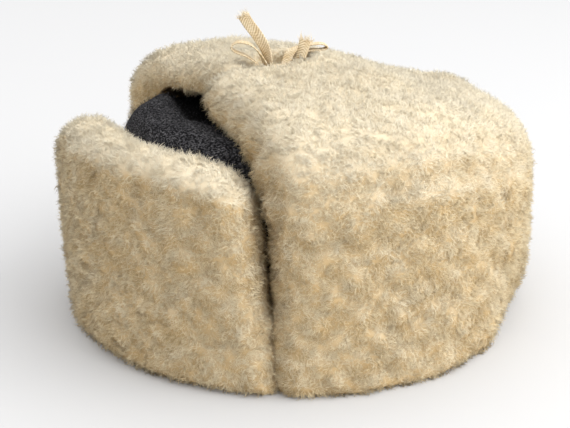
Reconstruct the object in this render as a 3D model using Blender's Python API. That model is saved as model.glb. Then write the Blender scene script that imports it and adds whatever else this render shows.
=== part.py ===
"""A sheepskin ushanka resting on its rim, with its peak turned up and its ear flaps tied over the crown.

+Z is up, -Y is the front and +X is the wearer's left. The origin is the middle of the rim. Lengths are
in metres. Angles round the hat run from 0 at the front, over the wearer's left side at 90, to 180 at
the back.
"""

import math
from collections import namedtuple

import bmesh
import bpy
from mathutils import Vector

# Crown: a padded cloth cap with an oval head opening and a sunken top
HEAD_LENGTH = 0.202
HEAD_WIDTH = 0.185
CROWN_WALL = 0.004
CROWN_WALL_TOP = 0.100
CROWN_RIDGE_HEIGHT = 0.121
RIDGE_INSET = 0.020
CROWN_DISH = 0.018
BACK_DROP = 0.13
CREASE_DEPTH = 0.0022
CREASES = 9

# Fleece flaps: turned-up sheepskin, wool outwards
FLEECE_DEPTH = 0.034
SIDE_FLEECE_DEPTH = 0.037
ROOF_FLEECE_DEPTH = 0.020
FLAP_SKIN = 0.003
SEAT_GAP = 0.0005
FLAP_END_ROUND = 0.018
RIGHT_END_ROUND = 0.034
RIM_END_SHARE = 0.35
RIM_END_HEIGHT = 0.055
FLAP_EDGE_REACH = 0.010
TENT_RISE = 0.010
SLIT_ANGLE = 53.0
SLIT_LEAN = 3.5
RIGHT_SLIT_LEAN = -8.0
SLIT_GAP = 0.0006
BACK_SEAM_GAP = 0.0004

# Peak: the front flap, a band with round top corners
PEAK_EDGE_REACH = 0.013

# Locks of wool, as staggered points on the outside of each flap
LOCK_PITCH = 0.0105
LOCK_RELIEF = 0.0014
WALL_ROWS = 8
ROOF_ROWS = 18

# Ties: cotton tape, bowed over the middle of the crown
TAPE_WIDTH = 0.0070
TAPE_THICKNESS = 0.0009
TAPE_CLEARANCE = 0.0004
TAPE_PITCH = TAPE_THICKNESS + TAPE_CLEARANCE
TAPE_STEPS = 3
KNOT_FORWARD_SHARE = 0.133
KNOT_LIFT = 0.0075
KNOT_WALL = 0.0012
KNOT_LENGTH = 0.0065

# The rounded hollow that the knot presses into the wool
HOLLOW_HALF_WIDTH = 0.0145
HOLLOW_HALF_LENGTH = 0.0225
HOLLOW_HALF_HEIGHT = 0.0155
HOLLOW_RISE = 0.009
HOLLOW_BACK = 0.003

CROWN_SEGMENTS = 40
HALF_LENGTH = HEAD_LENGTH / 2 + CROWN_WALL
HALF_WIDTH = HEAD_WIDTH / 2 + CROWN_WALL
KNOT_Y = -KNOT_FORWARD_SHARE * HALF_LENGTH
KNOT_HEIGHT = CROWN_RIDGE_HEIGHT + SEAT_GAP + TENT_RISE + KNOT_LIFT

# Where the edge of an ear flap lies: the angle of the wall below it, and the edge's place
# as shares of the crown's half width (x, outwards) and half length (y, backwards)
FlapEdge = namedtuple("FlapEdge", "angle x_share y_share")
LEFT_FLAP_EDGE = (
    FlapEdge(SLIT_ANGLE, 0.21, -0.64),
    FlapEdge(68.0, 0.10, -0.46),
    FlapEdge(84.0, 0.105, -0.20),
    FlapEdge(100.0, 0.105, 0.06),
    FlapEdge(116.0, 0.100, 0.30),
    FlapEdge(134.0, 0.12, 0.54),
    FlapEdge(156.0, 0.16, 0.80),
    FlapEdge(180.0, 0.00, 0.965),
)
RIGHT_FLAP_EDGE = (FlapEdge(SLIT_ANGLE, 0.19, -0.49), FlapEdge(68.0, 0.12, -0.37)) + LEFT_FLAP_EDGE[2:]

# How high the skin of the peak stands at an angle, as a share of the crown wall's height. It sags a
# little on the wearer's right, where the angle is under 0.
PeakTop = namedtuple("PeakTop", "angle height_share")
PEAK_TOP = (
    PeakTop(-SLIT_ANGLE, 0.72),
    PeakTop(-42.0, 0.93),
    PeakTop(-28.0, 1.00),
    PeakTop(-5.0, 1.06),
    PeakTop(20.0, 1.09),
    PeakTop(34.0, 1.07),
    PeakTop(45.0, 1.03),
    PeakTop(SLIT_ANGLE, 0.92),
)

# The lower corner of the wool at an angle: how high its rounding goes, as a share of the crown wall's
# height, and how far it goes in, as a share of the wool's depth
RimRound = namedtuple("RimRound", "angle height_share inwards_share")
RIM_ROUND = (
    RimRound(0.0, 0.22, 0.26),
    RimRound(30.0, 0.16, 0.18),
    RimRound(60.0, 0.08, 0.09),
    RimRound(95.0, 0.08, 0.08),
    RimRound(120.0, 0.24, 0.25),
    RimRound(145.0, 0.34, 0.40),
    RimRound(180.0, 0.34, 0.41),
)

# Routes of the two tapes, from where each is sewn to its flap to its frayed end. Places are from the
# knot's middle. turn is the way the tape's width points, seen from above: 0 is towards +X, and it grows
# towards +Y.
TapePoint = namedtuple("TapePoint", "x y z turn")
LEVEL = [TAPE_PITCH * (step - 1.5) for step in range(4)]
LEFT_TAPE_ROUTE = (
    TapePoint(0.0010, 0.0085, LEVEL[0] - 0.0012, 0),
    TapePoint(0.0004, 0.0055, LEVEL[0] - 0.0003, 0),
    TapePoint(0.0, 0.0025, LEVEL[0], 0),
    TapePoint(0.0, -0.0040, LEVEL[0], 0),
    TapePoint(-0.0004, -0.0080, LEVEL[0] + 0.0016, -8),
    TapePoint(-0.0024, -0.0120, 0.0062, -20),
    TapePoint(-0.0062, -0.0170, 0.0110, -30),
    TapePoint(-0.0100, -0.0222, 0.0136, -33),
    TapePoint(-0.0112, -0.0240, 0.0164, -33),
    TapePoint(-0.0090, -0.0205, 0.0190, -33),
    TapePoint(-0.0048, -0.0145, 0.0172, -28),
    TapePoint(-0.0018, -0.0098, 0.0106, -14),
    TapePoint(-0.0003, -0.0062, LEVEL[2] + 0.0020, -3),
    TapePoint(0.0, -0.0032, LEVEL[2], 0),
    TapePoint(0.0, 0.0035, LEVEL[2], 0),
    TapePoint(0.0018, 0.0064, LEVEL[2] + 0.0009, -24),
    TapePoint(0.0048, 0.0092, 0.0046, -16),
    TapePoint(0.0066, 0.0112, 0.0094, 22),
    TapePoint(0.0072, 0.0126, 0.0142, 46),
    TapePoint(0.0074, 0.0138, 0.0190, 57),
)
RIGHT_TAPE_ROUTE = (
    TapePoint(0.0, -0.0036, LEVEL[1], 0),
    TapePoint(0.0, 0.0, LEVEL[1], 0),
    TapePoint(0.0, 0.0036, LEVEL[1], 0),
    TapePoint(-0.0012, 0.0070, LEVEL[1] - 0.0001, 14),
    TapePoint(-0.0036, 0.0115, 0.0028, 18),
    TapePoint(-0.0044, 0.0170, 0.0082, 2),
    TapePoint(-0.0022, 0.0235, 0.0106, -20),
    TapePoint(0.0012, 0.0296, 0.0108, -28),
    TapePoint(0.0026, 0.0324, 0.0124, -28),
    TapePoint(0.0010, 0.0296, 0.0142, -28),
    TapePoint(-0.0026, 0.0235, 0.0138, -22),
    TapePoint(-0.0048, 0.0170, 0.0122, 0),
    TapePoint(-0.0046, 0.0115, 0.0100, 18),
    TapePoint(-0.0020, 0.0068, LEVEL[3] + 0.0028, 18),
    TapePoint(0.0, 0.0036, LEVEL[3], 0),
    TapePoint(0.0, -0.0036, LEVEL[3], 0),
    TapePoint(-0.0003, -0.0054, LEVEL[3] + 0.0030, 4),
    TapePoint(-0.0008, -0.0064, 0.0105, 16),
    TapePoint(-0.0018, -0.0080, 0.0162, 36),
    TapePoint(-0.0038, -0.0114, 0.0228, 54),
    TapePoint(-0.0060, -0.0154, 0.0290, 57),
    TapePoint(-0.0074, -0.0180, 0.0338, 57),
)

Finish = namedtuple("Finish", "name colour roughness")
CLOTH = Finish("grey_cloth", (0.055, 0.056, 0.064, 1.0), 0.9)
WOOL = Finish("cream_wool", (0.72, 0.62, 0.44, 1.0), 0.95)
COTTON = Finish("cotton_tape", (0.66, 0.52, 0.33, 1.0), 0.85)


def clear_scene():
    for obj in list(bpy.data.objects):
        bpy.data.objects.remove(obj)


def material(object_name, finish):
    made = bpy.data.materials.new(f"{finish.name}_{object_name}")
    made.use_nodes = True
    shader = made.node_tree.nodes["Principled BSDF"]
    shader.inputs["Base Color"].default_value = finish.colour
    shader.inputs["Roughness"].default_value = finish.roughness
    shader.inputs["Metallic"].default_value = 0.0
    return made


def smooth_row(rows, place):
    """The row at a place along a table, on a Catmull-Rom curve. place is 0 at the first row, 1 at the next."""
    start = min(int(place), len(rows) - 2)
    share = place - start
    picked = [rows[max(0, min(len(rows) - 1, start + step))] for step in (-1, 0, 1, 2)]
    before, first, second, after = (Vector(row) for row in picked)
    return 0.5 * (
        2 * first
        + (second - before) * share
        + (2 * before - 5 * first + 4 * second - after) * share**2
        + (3 * first - before - 3 * second + after) * share**3
    )


def from_table(rows, angle):
    """The values beside an angle in a table whose rows start with one, on a smooth curve through them."""
    angles = [row.angle for row in rows]
    angle = min(max(angle, angles[0]), angles[-1])
    later = next(index for index, listed in enumerate(angles[1:], 1) if angle <= listed)
    share = (angle - angles[later - 1]) / (angles[later] - angles[later - 1])
    return smooth_row(rows, later - 1 + share)[1:]


def settled(point):
    """The whole hat is lower at the back, where its wall and top have sunk."""
    back = min(1.0, max(0.0, point.y / HALF_LENGTH))
    drop = BACK_DROP * back * back * (3 - 2 * back)
    return Vector((point.x, point.y, point.z * (1 - drop)))


def oval_outward(angle):
    """The unit vector that points straight out of the crown's wall at an angle."""
    out = Vector((math.sin(angle) / HALF_WIDTH, -math.cos(angle) / HALF_LENGTH))
    return out.normalized()


def oval_point(angle, share=1.0):
    return Vector((HALF_WIDTH * share * math.sin(angle), -HALF_LENGTH * share * math.cos(angle)))


def ridge_share():
    return 1 - 2 * RIDGE_INSET / (HALF_LENGTH + HALF_WIDTH)


def share_and_angle(place):
    across, along = place.x / HALF_WIDTH, -place.y / HALF_LENGTH
    return math.hypot(across, along), math.atan2(across, along)


def shoulder_turn(share):
    """How far the crown has turned from upright at a share of the oval: a quarter turn at the ridge."""
    across = (share - ridge_share()) / (1 - ridge_share())
    return math.acos(max(0.0, min(1.0, across)))


def shoulder_height(share):
    return CROWN_WALL_TOP + (CROWN_RIDGE_HEIGHT - CROWN_WALL_TOP) * math.sin(shoulder_turn(share))


def bed_height(share):
    """The height that the ear flaps lie at: on the crown's shoulder, then in a tent over its sunken top."""
    inside = max(0.0, 1 - share / ridge_share())
    return shoulder_height(share) + SEAT_GAP + TENT_RISE * inside


def dish_height(share):
    inside = min(1.0, share / ridge_share())
    return CROWN_RIDGE_HEIGHT - CROWN_DISH * (0.5 + 0.5 * math.cos(math.pi * inside))


def leaned(angle, height, lean):
    """The angle at a height of what stands at an angle on the rim. It leans forwards, as the slits do."""
    near_slit = max(0.0, 1 - abs(abs(math.degrees(angle)) - SLIT_ANGLE) / SLIT_ANGLE)
    turn = math.radians(lean) * min(1.0, height / CROWN_WALL_TOP) * near_slit
    return angle - turn * math.copysign(1.0, angle)


def object_from(name, mesh_tools, finish):
    """One object from a bmesh, with its faces turned outwards and a material of its own."""
    bmesh.ops.recalc_face_normals(mesh_tools, faces=mesh_tools.faces)
    mesh = bpy.data.meshes.new(name)
    mesh_tools.to_mesh(mesh)
    mesh_tools.free()
    mesh.materials.append(material(name, finish))
    obj = bpy.data.objects.new(name, mesh)
    bpy.context.collection.objects.link(obj)
    return obj


def loft(loops, closed_round=False):
    """A skin through loops of equal length. An open row of loops gets a cap at each end. Each square is
    split from low point to low point of the staggered locks, so that every lock has a tip of its own."""
    made = bmesh.new()
    rows = [[made.verts.new(point) for point in loop] for loop in loops]
    pairs = list(zip(rows, rows[1:]))
    if closed_round:
        pairs.append((rows[-1], rows[0]))
    for column, (first, second) in enumerate(pairs):
        for index in range(len(first)):
            after = (index + 1) % len(first)
            corners = (first[index], first[after], second[after], second[index])
            turn = (column + index) % 2
            made.faces.new((corners[turn], corners[turn + 1], corners[turn + 2]))
            made.faces.new((corners[turn + 2], corners[(turn + 3) % 4], corners[turn]))
    if not closed_round:
        made.faces.new(rows[0])
        made.faces.new(reversed(rows[-1]))
    return made


def crown_rows():
    """(share, height, turn) of the crown's outside from its rim to the middle of its sunken top."""
    rows = [(1.0, CROWN_WALL_TOP * step / 3, 0.0) for step in range(4)]
    for step in range(1, 5):
        turn = math.radians(90) * step / 4
        share = ridge_share() + (1 - ridge_share()) * math.cos(turn)
        rows.append((share, shoulder_height(share), turn))
    for step in range(1, 6):
        share = ridge_share() * (1 - step / 5.4)
        rows.append((share, dish_height(share), math.radians(90)))
    return rows


def crease(angle, share):
    """How far the cloth is drawn in by the creases on the sunken top."""
    if share > ridge_share():
        return 0.0
    window = math.sin(math.pi * share / ridge_share())
    return CREASE_DEPTH * window * (0.5 + 0.5 * math.cos(CREASES * angle + 1.3 * math.sin(2 * angle)))


def crown_point(angle, row, inwards):
    share, height, turn = row
    out = oval_outward(angle)
    plan = oval_point(angle, share) - out * inwards * math.cos(turn)
    drawn_in = inwards * math.sin(turn) + crease(angle, share)
    return settled(Vector((plan.x, plan.y, height - drawn_in)))


def build_crown():
    """The cap: an outer and an inner shell of rings, from the rim to the middle of the top."""
    angles = [2 * math.pi * step / CROWN_SEGMENTS for step in range(CROWN_SEGMENTS)]
    made = bmesh.new()
    rings = []
    for inwards in (0.0, CROWN_WALL):
        rings.append([])
        for row in crown_rows():
            rings[-1].append([made.verts.new(crown_point(angle, row, inwards)) for angle in angles])
    for shell in rings:
        for low, high in zip(shell, shell[1:]):
            for index in range(CROWN_SEGMENTS):
                after = (index + 1) % CROWN_SEGMENTS
                made.faces.new((low[index], low[after], high[after], high[index]))
        made.faces.new(shell[-1])
    for index in range(CROWN_SEGMENTS):
        after = (index + 1) % CROWN_SEGMENTS
        made.faces.new((rings[0][0][index], rings[0][0][after], rings[1][0][after], rings[1][0][index]))
    object_from("crown", made, CLOTH).data.shade_smooth()


def quarter_round(distance, radius):
    """From 0 at an edge to 1 at radius from it, along a quarter of an ellipse."""
    inside = max(0.0, 1 - distance / radius)
    return math.sqrt(max(0.0, 1 - inside * inside))


def upright_path(angle, heights, lean=SLIT_LEAN):
    """Points up the crown's wall, each with the direction out of the wall."""
    path = []
    for height in heights:
        turned = leaned(angle, height, lean)
        out = oval_outward(turned)
        place = oval_point(turned) + out * SEAT_GAP
        path.append((Vector((place.x, place.y, height)), Vector((out.x, out.y, 0.0))))
    return path


def bed_path(angle, edge, steps, lean):
    """Points over the crown, from the top of the wall to a flap's edge, each with its outward direction."""
    path = []
    foot = oval_point(angle)
    for step in range(1, steps + 1):
        share, there = share_and_angle(foot.lerp(edge, (step / steps) ** 1.5))
        there = leaned(there, CROWN_WALL_TOP, lean)
        turn = shoulder_turn(share)
        out = oval_outward(there) * math.cos(turn)
        plan = oval_point(there, share)
        place = Vector((plan.x, plan.y, bed_height(share)))
        path.append((place, Vector((out.x, out.y, math.sin(turn)))))
    return path


def rim_round(angle):
    """(height, share of the wool's depth) of the rounding of the wool's lower corner."""
    height_share, inwards_share = from_table(RIM_ROUND, abs(math.degrees(angle)))
    return CROWN_WALL_TOP * height_share, inwards_share


def wall_heights(angle, top):
    bottom = rim_round(angle)[0]
    return [bottom + (top - bottom) * step / WALL_ROWS for step in range(WALL_ROWS + 1)]


def lock(column, row, spacing):
    """Wool locks stand out on every other point, staggered from column to column."""
    return LOCK_RELIEF * min(1.0, spacing / LOCK_PITCH) * (1 if (column + row) % 2 else -1)


def fleece_depth(angle, outwards, end_share, relief=0.0):
    """The wool is deepest where it stands out sideways, and thins to the bare skin at a flap's end."""
    wall_depth = FLEECE_DEPTH + (SIDE_FLEECE_DEPTH - FLEECE_DEPTH) * math.sin(angle) ** 2
    depth = ROOF_FLEECE_DEPTH + (wall_depth - ROOF_FLEECE_DEPTH) * (1 - outwards.z**2)
    return FLAP_SKIN + (depth + relief - FLAP_SKIN) * end_share


def rim_points(angle, from_end, rounding):
    """The rounded lower corner of the wool, from where it rests upwards."""
    place, outwards = upright_path(angle, [0.0])[0]
    height, inwards_share = rim_round(angle)
    points = []
    for turn in (0, 30, 60):
        up = height * (1 - math.cos(math.radians(turn)))
        depth = fleece_depth(angle, outwards, end_depth_share(from_end, rounding, up))
        out = depth * (1 - inwards_share * (1 - math.sin(math.radians(turn))))
        points.append(place + outwards * out + Vector((0, 0, up)))
    return points


def flap_section(column, angle, path, reach, from_end, rounding):
    """The closed outline of a flap above one place on the rim: its wool, round its edge, and its skin."""
    outline = rim_points(angle, from_end, rounding)
    for (place, outwards), (after, _) in zip(path, path[1:]):
        relief = lock(column, len(outline), (after - place).length)
        end_share = end_depth_share(from_end, rounding, place.z)
        outline.append(place + outwards * fleece_depth(angle, outwards, end_share, relief))
    edge, outwards = path[-1]
    onwards = (edge - path[-2][0]).normalized()
    end_share = end_depth_share(from_end, rounding, edge.z)
    depth = fleece_depth(angle, outwards, end_share)
    for turn in (15, 45, 75, 105, 135, 162):
        out = depth * (1 + math.cos(math.radians(turn))) / 2
        past = reach * max(0.15, end_share) * math.sin(math.radians(turn))
        outline.append(edge + outwards * out + onwards * past)
    skin = [place for place, _ in path[: WALL_ROWS : WALL_ROWS // 2] + path[WALL_ROWS:]]
    outline += skin[::-1] + [upright_path(angle, [0.0])[0][0]]
    return [settled(point) for point in outline]


def end_depth_share(from_end, rounding, height):
    """How much of its depth the wool has near a flap's end. Low down, squarer ends close the slit."""
    squareness = RIM_END_SHARE + (1 - RIM_END_SHARE) * min(1.0, height / RIM_END_HEIGHT)
    return quarter_round(from_end, rounding * squareness)


def columns_between(first, last, rounding, round_last):
    """(angle, distance from the first end, distance from the last end) for each column of a band of wool.
    The columns are closer where an end is rounded. first and last are in degrees."""
    first, last = math.radians(first), math.radians(last)
    radius = oval_point((first + last) / 2).length + FLEECE_DEPTH
    steps = round((last - first) * radius / LOCK_PITCH)
    pitch = (last - first) / steps
    near_end = [rounding * (1 - math.cos(math.radians(18 * step))) / radius for step in range(5)]
    clear = near_end[-1] + 0.4 * pitch
    angles = [first + pitch * step for step in range(steps + 1)]
    angles = [first + step for step in near_end] + [angle for angle in angles if angle > first + clear]
    if round_last:
        angles = [angle for angle in angles if angle < last - clear]
        angles += [last - step for step in reversed(near_end)]
    return [(angle, (angle - first) * radius, (last - angle) * radius) for angle in angles]


def slit_half_gap():
    return math.degrees(SLIT_GAP / (HALF_WIDTH + HALF_LENGTH))


def build_ear_flap(name, side, edge_rows, lean, rounding):
    """An ear flap with its half of the neck flap, from the slit beside the peak to the back seam.
    side is 1 for the wearer's left and -1 for the right."""
    loops = []
    spread = columns_between(SLIT_ANGLE + slit_half_gap(), 180.0, rounding, False)
    for column, (angle, from_slit, _) in enumerate(spread):
        x_share, y_share = from_table(edge_rows, math.degrees(angle))
        edge = Vector((x_share * HALF_WIDTH, y_share * HALF_LENGTH))
        path = upright_path(angle, wall_heights(angle, CROWN_WALL_TOP), lean)
        path += bed_path(angle, edge, ROOF_ROWS, lean)
        loop = flap_section(column, angle, path, FLAP_EDGE_REACH, from_slit, rounding)
        loops.append([Vector((side * max(point.x, BACK_SEAM_GAP / 2), point.y, point.z)) for point in loop])
    return object_from(name, loft(loops), WOOL)


def build_peak():
    """The peak: a band round the front, whose top drops in a curve towards its ends."""
    loops = []
    end = SLIT_ANGLE - slit_half_gap()
    spread = columns_between(-end, end, FLAP_END_ROUND, True)
    for column, (angle, from_first, from_last) in enumerate(spread):
        nearest = min(from_first, from_last)
        top = CROWN_WALL_TOP * from_table(PEAK_TOP, math.degrees(angle))[0]
        path = upright_path(angle, wall_heights(angle, top))
        loops.append(flap_section(column, angle, path, PEAK_EDGE_REACH, nearest, FLAP_END_ROUND))
    object_from("peak", loft(loops), WOOL)


def tape_points(route):
    """(place, turn) along a smooth curve through the route's own points."""
    steps = (len(route) - 1) * TAPE_STEPS
    rows = [smooth_row(route, step / TAPE_STEPS) for step in range(steps + 1)]
    knot = Vector((0.0, KNOT_Y, KNOT_HEIGHT))
    return [(knot + row.xyz, math.radians(row.w)) for row in rows]


def build_tape(name, route):
    """A flat tape swept along its route, with its width kept square to it."""
    points = tape_points(route)
    loops = []
    for index, (place, turn) in enumerate(points):
        ahead = points[min(index + 1, len(points) - 1)][0] - points[max(index - 1, 0)][0]
        ahead.normalize()
        across = Vector((math.cos(turn), math.sin(turn), 0.0))
        across = (across - ahead * across.dot(ahead)).normalized() * TAPE_WIDTH / 2
        up = ahead.cross(across).normalized() * TAPE_THICKNESS / 2
        corners = (across + up, across - up, -across - up, -across + up)
        loops.append([place + corner for corner in corners])
    object_from(name, loft(loops), COTTON)


def rounded_loop(half_width, half_height, y):
    """A round-cornered rectangle across the knot, as a loop of points."""
    points = []
    for step in range(16):
        angle = 2 * math.pi * (step + 0.5) / 16
        x = math.copysign(abs(math.cos(angle)) ** 0.3, math.cos(angle)) * half_width
        z = math.copysign(abs(math.sin(angle)) ** 0.3, math.sin(angle)) * half_height
        points.append(Vector((x, KNOT_Y + y, KNOT_HEIGHT + z)))
    return points


def build_knot():
    """The knot: a wrap of tape round the four strands that pass through it."""
    inner = (TAPE_WIDTH / 2 + 2 * SEAT_GAP, 2 * TAPE_PITCH + 2 * SEAT_GAP)
    outer = (inner[0] + KNOT_WALL, inner[1] + KNOT_WALL)
    rows = [(outer, -0.5), (outer, 0.5), (inner, 0.5), (inner, -0.5)]
    loops = [rounded_loop(half[0], half[1], KNOT_LENGTH * share) for half, share in rows]
    object_from("tie_knot", loft(loops, closed_round=True), COTTON)


def seat_knot(flap):
    """The knot lies in a rounded hollow that it presses into the wool where the flaps meet."""
    size = (HOLLOW_HALF_WIDTH, HOLLOW_HALF_LENGTH, HOLLOW_HALF_HEIGHT)
    middle = (0.0, KNOT_Y + HOLLOW_BACK, KNOT_HEIGHT + HOLLOW_RISE)
    made = bmesh.new()
    bmesh.ops.create_uvsphere(made, u_segments=20, v_segments=12, radius=1.0)
    bmesh.ops.scale(made, vec=size, verts=made.verts)
    bmesh.ops.translate(made, vec=middle, verts=made.verts)
    cutter = object_from(flap.name + "_hollow", made, WOOL)
    cutter.hide_render = True
    cutter.display_type = "WIRE"
    cut = flap.modifiers.new("knot_hollow", "BOOLEAN")
    cut.operation = "DIFFERENCE"
    cut.solver = "EXACT"
    cut.object = cutter


def main():
    clear_scene()
    build_crown()
    build_peak()
    flaps = [
        build_ear_flap("ear_flap_left", 1, LEFT_FLAP_EDGE, SLIT_LEAN, FLAP_END_ROUND),
        build_ear_flap("ear_flap_right", -1, RIGHT_FLAP_EDGE, RIGHT_SLIT_LEAN, RIGHT_END_ROUND),
    ]
    build_tape("tie_tape_left", LEFT_TAPE_ROUTE)
    build_tape("tie_tape_right", RIGHT_TAPE_ROUTE)
    build_knot()
    for flap in flaps:
        seat_knot(flap)


main()
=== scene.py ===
"""The looks of a sheepskin ushanka: cream fleece, a grey felt crown and cotton ties, on a pale floor.

Lengths are in metres. +Z is up, -Y is the hat's front and +X is the wearer's left.
"""

import math
from collections import namedtuple

import bpy
import numpy as np
from mathutils import Matrix, Vector
from mathutils.bvhtree import BVHTree
from mathutils.kdtree import KDTree


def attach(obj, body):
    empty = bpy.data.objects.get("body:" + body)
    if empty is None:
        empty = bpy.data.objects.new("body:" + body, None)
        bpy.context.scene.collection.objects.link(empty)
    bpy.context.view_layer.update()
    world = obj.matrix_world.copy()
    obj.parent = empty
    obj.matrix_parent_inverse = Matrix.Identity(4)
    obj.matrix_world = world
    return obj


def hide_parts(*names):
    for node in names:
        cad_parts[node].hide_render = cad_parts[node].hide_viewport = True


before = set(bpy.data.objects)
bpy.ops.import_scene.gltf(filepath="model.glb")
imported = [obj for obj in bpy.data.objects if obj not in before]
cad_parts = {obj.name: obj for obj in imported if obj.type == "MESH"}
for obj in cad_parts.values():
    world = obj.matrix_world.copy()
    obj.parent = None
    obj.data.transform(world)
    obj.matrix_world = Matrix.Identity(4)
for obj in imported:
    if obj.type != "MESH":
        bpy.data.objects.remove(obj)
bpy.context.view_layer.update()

# Camera, fitted to the photo's view of the rim, the slit and the outline
CAMERA_PLACE = (0.5147, -0.3426, 0.2822)
CAMERA_AZIMUTH = 57.06
CAMERA_ELEVATION = 20.57
CAMERA_LENS_MM = 68.59

# Noise on a lattice of random values
LATTICE_SIZE = 8192
HASH_PRIMES = (73856093, 19349663, 83492791)

# Fleece: its surface
PELT_VOXEL = 0.0026
PELT_ROUNDS = 9
SHRINK_AND_SWELL = (0.60, -0.61)
PELT_SETBACK = 0.0006
LUMP_SIZE = 0.026
LUMP_HEIGHT = 0.0016
RIDGE_LENGTH = 0.034
RIDGE_PITCH = 0.0095
RIDGE_HEIGHT = 0.0011
RIDGE_WARP_SIZE = 0.030
RIDGE_WARP = 0.9
TUFT_SIZE = np.array([0.0090, 0.0090, 0.0056])
TUFT_HEIGHT = 0.0008
ROOF_CALM = 0.55
ROOF_BLEND = 1.4
BULGE_EDGE = 1.4

# Fleece: its slits and seams
CLOSED_SLIT_HEIGHT = 0.044
CLOSED_SEAM_START = 0.022
CLOSING_BLEND = 0.012
SLIT_END_WANDER = 0.008
SLIT_END_WANDER_SIZE = 0.012
SLIT_REACH = 0.013
FILL_ROUNDS = 4
SLIT_FILL = 0.0050
WIDEST_SEAM = 0.018
SEAM_OVERLAP = 0.0015
SKIN_CLEARANCE = 0.0022
SLIT_CLEARANCE = 0.005
LEAST_SLIT_WOOL = 0.25
RAY_START = 0.0002

# Fleece: its strands. The shares are of a strand's length, and the spreads are standard deviations
STRAND_LENGTH = 0.0038
STRAND_WIDTH = 0.00034
STRAND_ROOT_DEPTH = 0.0002
STRANDS_PER_CLUMP = 14
LYING_LEAN = 3.4
STANDING_LEAN = 0.85
STANDING_SHARE = 0.30
STANDING_EXTRA = 1.25
LEAN_PATCH_SIZE = 0.005
LEAN_IN_PATCHES = 1.1
LEAN_SPREAD = 0.70
LENGTH_SPREAD = 0.22
LENGTH_IN_PATCHES = 0.25
LENGTH_PATCH_SIZE = 0.009
LENGTH_LIMITS = (0.3, 1.7)
CLUMP_TIP_SHARE = 0.9
CLUMP_PULL = (0.15, 0.55)
SIDE_BEND = 0.35
UPWARD_BEND = 0.12
TWIST_SPREAD = 0.15
NORMAL_SPREAD = 0.07
TONE_MIDDLE = 0.55
TONE_IN_PATCHES = 0.35
TONE_PATCH_SIZE = 0.004
TONE_SPREAD = 0.30
# Painted shade: the wool turns dark brown where it is short, in the open slits, and on the bare skin.
PALE_ABOVE = 0.30
PALE_BLEND = 0.35
LEAST_PALENESS = 0.1
ALONG_STRAND = [0.2, 0.6, 0.6, 1.0]
FLOOR_CLEARANCE = 0.0004

# Crown
FELT_DENT_SIZE = 0.030
FELT_DENT_DEPTH = 0.0022
FELT_FOLD_SIZE = 0.045
DENTS_ABOVE = 0.085
# The pocket behind the crown's ridge is sunk, and its felt darkened there as painted shade.
POCKET_DEPTH = 0.008
PocketRidge = namedtuple("PocketRidge", "x y slope")
POCKET_RIDGES_MM = (PocketRidge(-45.6, -63.7, -0.313), PocketRidge(-5.0, -76.4, 4.0))
POCKET_RIDGE_LIMIT_MM = -50
POCKET_BLEND_MM = 16
POCKET_LOWEST_MM = 104
POCKET_RISE_MM = 6
FUZZ_STRANDS = 6000
FUZZ_LENGTH = 0.0022
FUZZ_WIDTH = 0.00022
FUZZ_SPREAD = 0.9
FUZZ_LIFT = 0.2
FUZZ_ABOVE = 0.070
FUZZ_OPENNESS = 0.6
OPENNESS_RAYS = 32
OPENNESS_START = 0.001
OPENNESS_REACH = 0.25

# Ties: the same tape and routes as the solids
TAPE_WIDTH = 0.0070
TAPE_THICKNESS = 0.0009
TAPE_CLEARANCE = 0.0004
TAPE_STEPS = 9
TAPE_COLUMNS = 12
RIB_PITCH = 0.0016
RIB_HEIGHT = 0.00016
RIB_SLANT = 1.6
EDGE_THICKNESS = 0.55
EDGE_SHARPNESS = 8
FRAY_RIB = 0.9
FRAY_THREADS = 90
FRAY_LENGTH = 0.0052
FRAY_WIDTH = 0.00024
FRAY_FURTHEST = 0.0060
FRAY_STEPS = 7
FRAY_HALF_SPAN = 0.48
FRAY_ROOT_SPREAD = 0.0003
FRAY_ROOT_DEPTH = 0.0012
FRAY_SPREAD = 0.30
FRAY_CURL_SPREAD = 0.35
FRAY_CURL = 0.6
FRAY_SHORTEST = 0.35

# Floor and light
FLOOR_HALF_SIZE = 4.0
FLOOR_COLOUR = (0.47, 0.47, 0.472, 1.0)
ROOM_STRENGTH = 2.15
ROOM_DARKEST = (0.28, 0.28, 0.29)
LIGHT_SIZE = 1.2
LIGHT_POWER = 13.5
LIGHT_TARGET = (0, 0, 0.07)

# Where the photo's wool is fuller or flatter than the solids: a place, how far it reaches, and how much
Bulge = namedtuple("Bulge", "node place reach height")
BULGES = (
    Bulge("peak", (-0.031, -0.119, 0.116), 0.014, 0.0050),
    Bulge("peak", (-0.010, -0.112, 0.116), 0.012, 0.0030),
    Bulge("peak", (-0.033, -0.135, 0.100), 0.013, -0.0025),
    Bulge("peak", (-0.033, -0.137, 0.080), 0.014, -0.0020),
    Bulge("ear_flap_left", (0.030, -0.067, 0.126), 0.011, 0.0030),
    Bulge("ear_flap_left", (0.048, -0.068, 0.126), 0.012, 0.0045),
    Bulge("ear_flap_left", (0.066, -0.071, 0.120), 0.012, 0.0060),
    Bulge("ear_flap_left", (0.082, -0.075, 0.111), 0.011, 0.0055),
    Bulge("ear_flap_left", (0.091, -0.078, 0.098), 0.009, 0.0030),
    Bulge("ear_flap_left", (0.034, 0.020, 0.144), 0.030, 0.0014),
    Bulge("ear_flap_left", (0.090, 0.072, 0.121), 0.020, 0.0030),
    Bulge("ear_flap_left", (0.112, 0.078, 0.018), 0.030, -0.0048),
)


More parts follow.
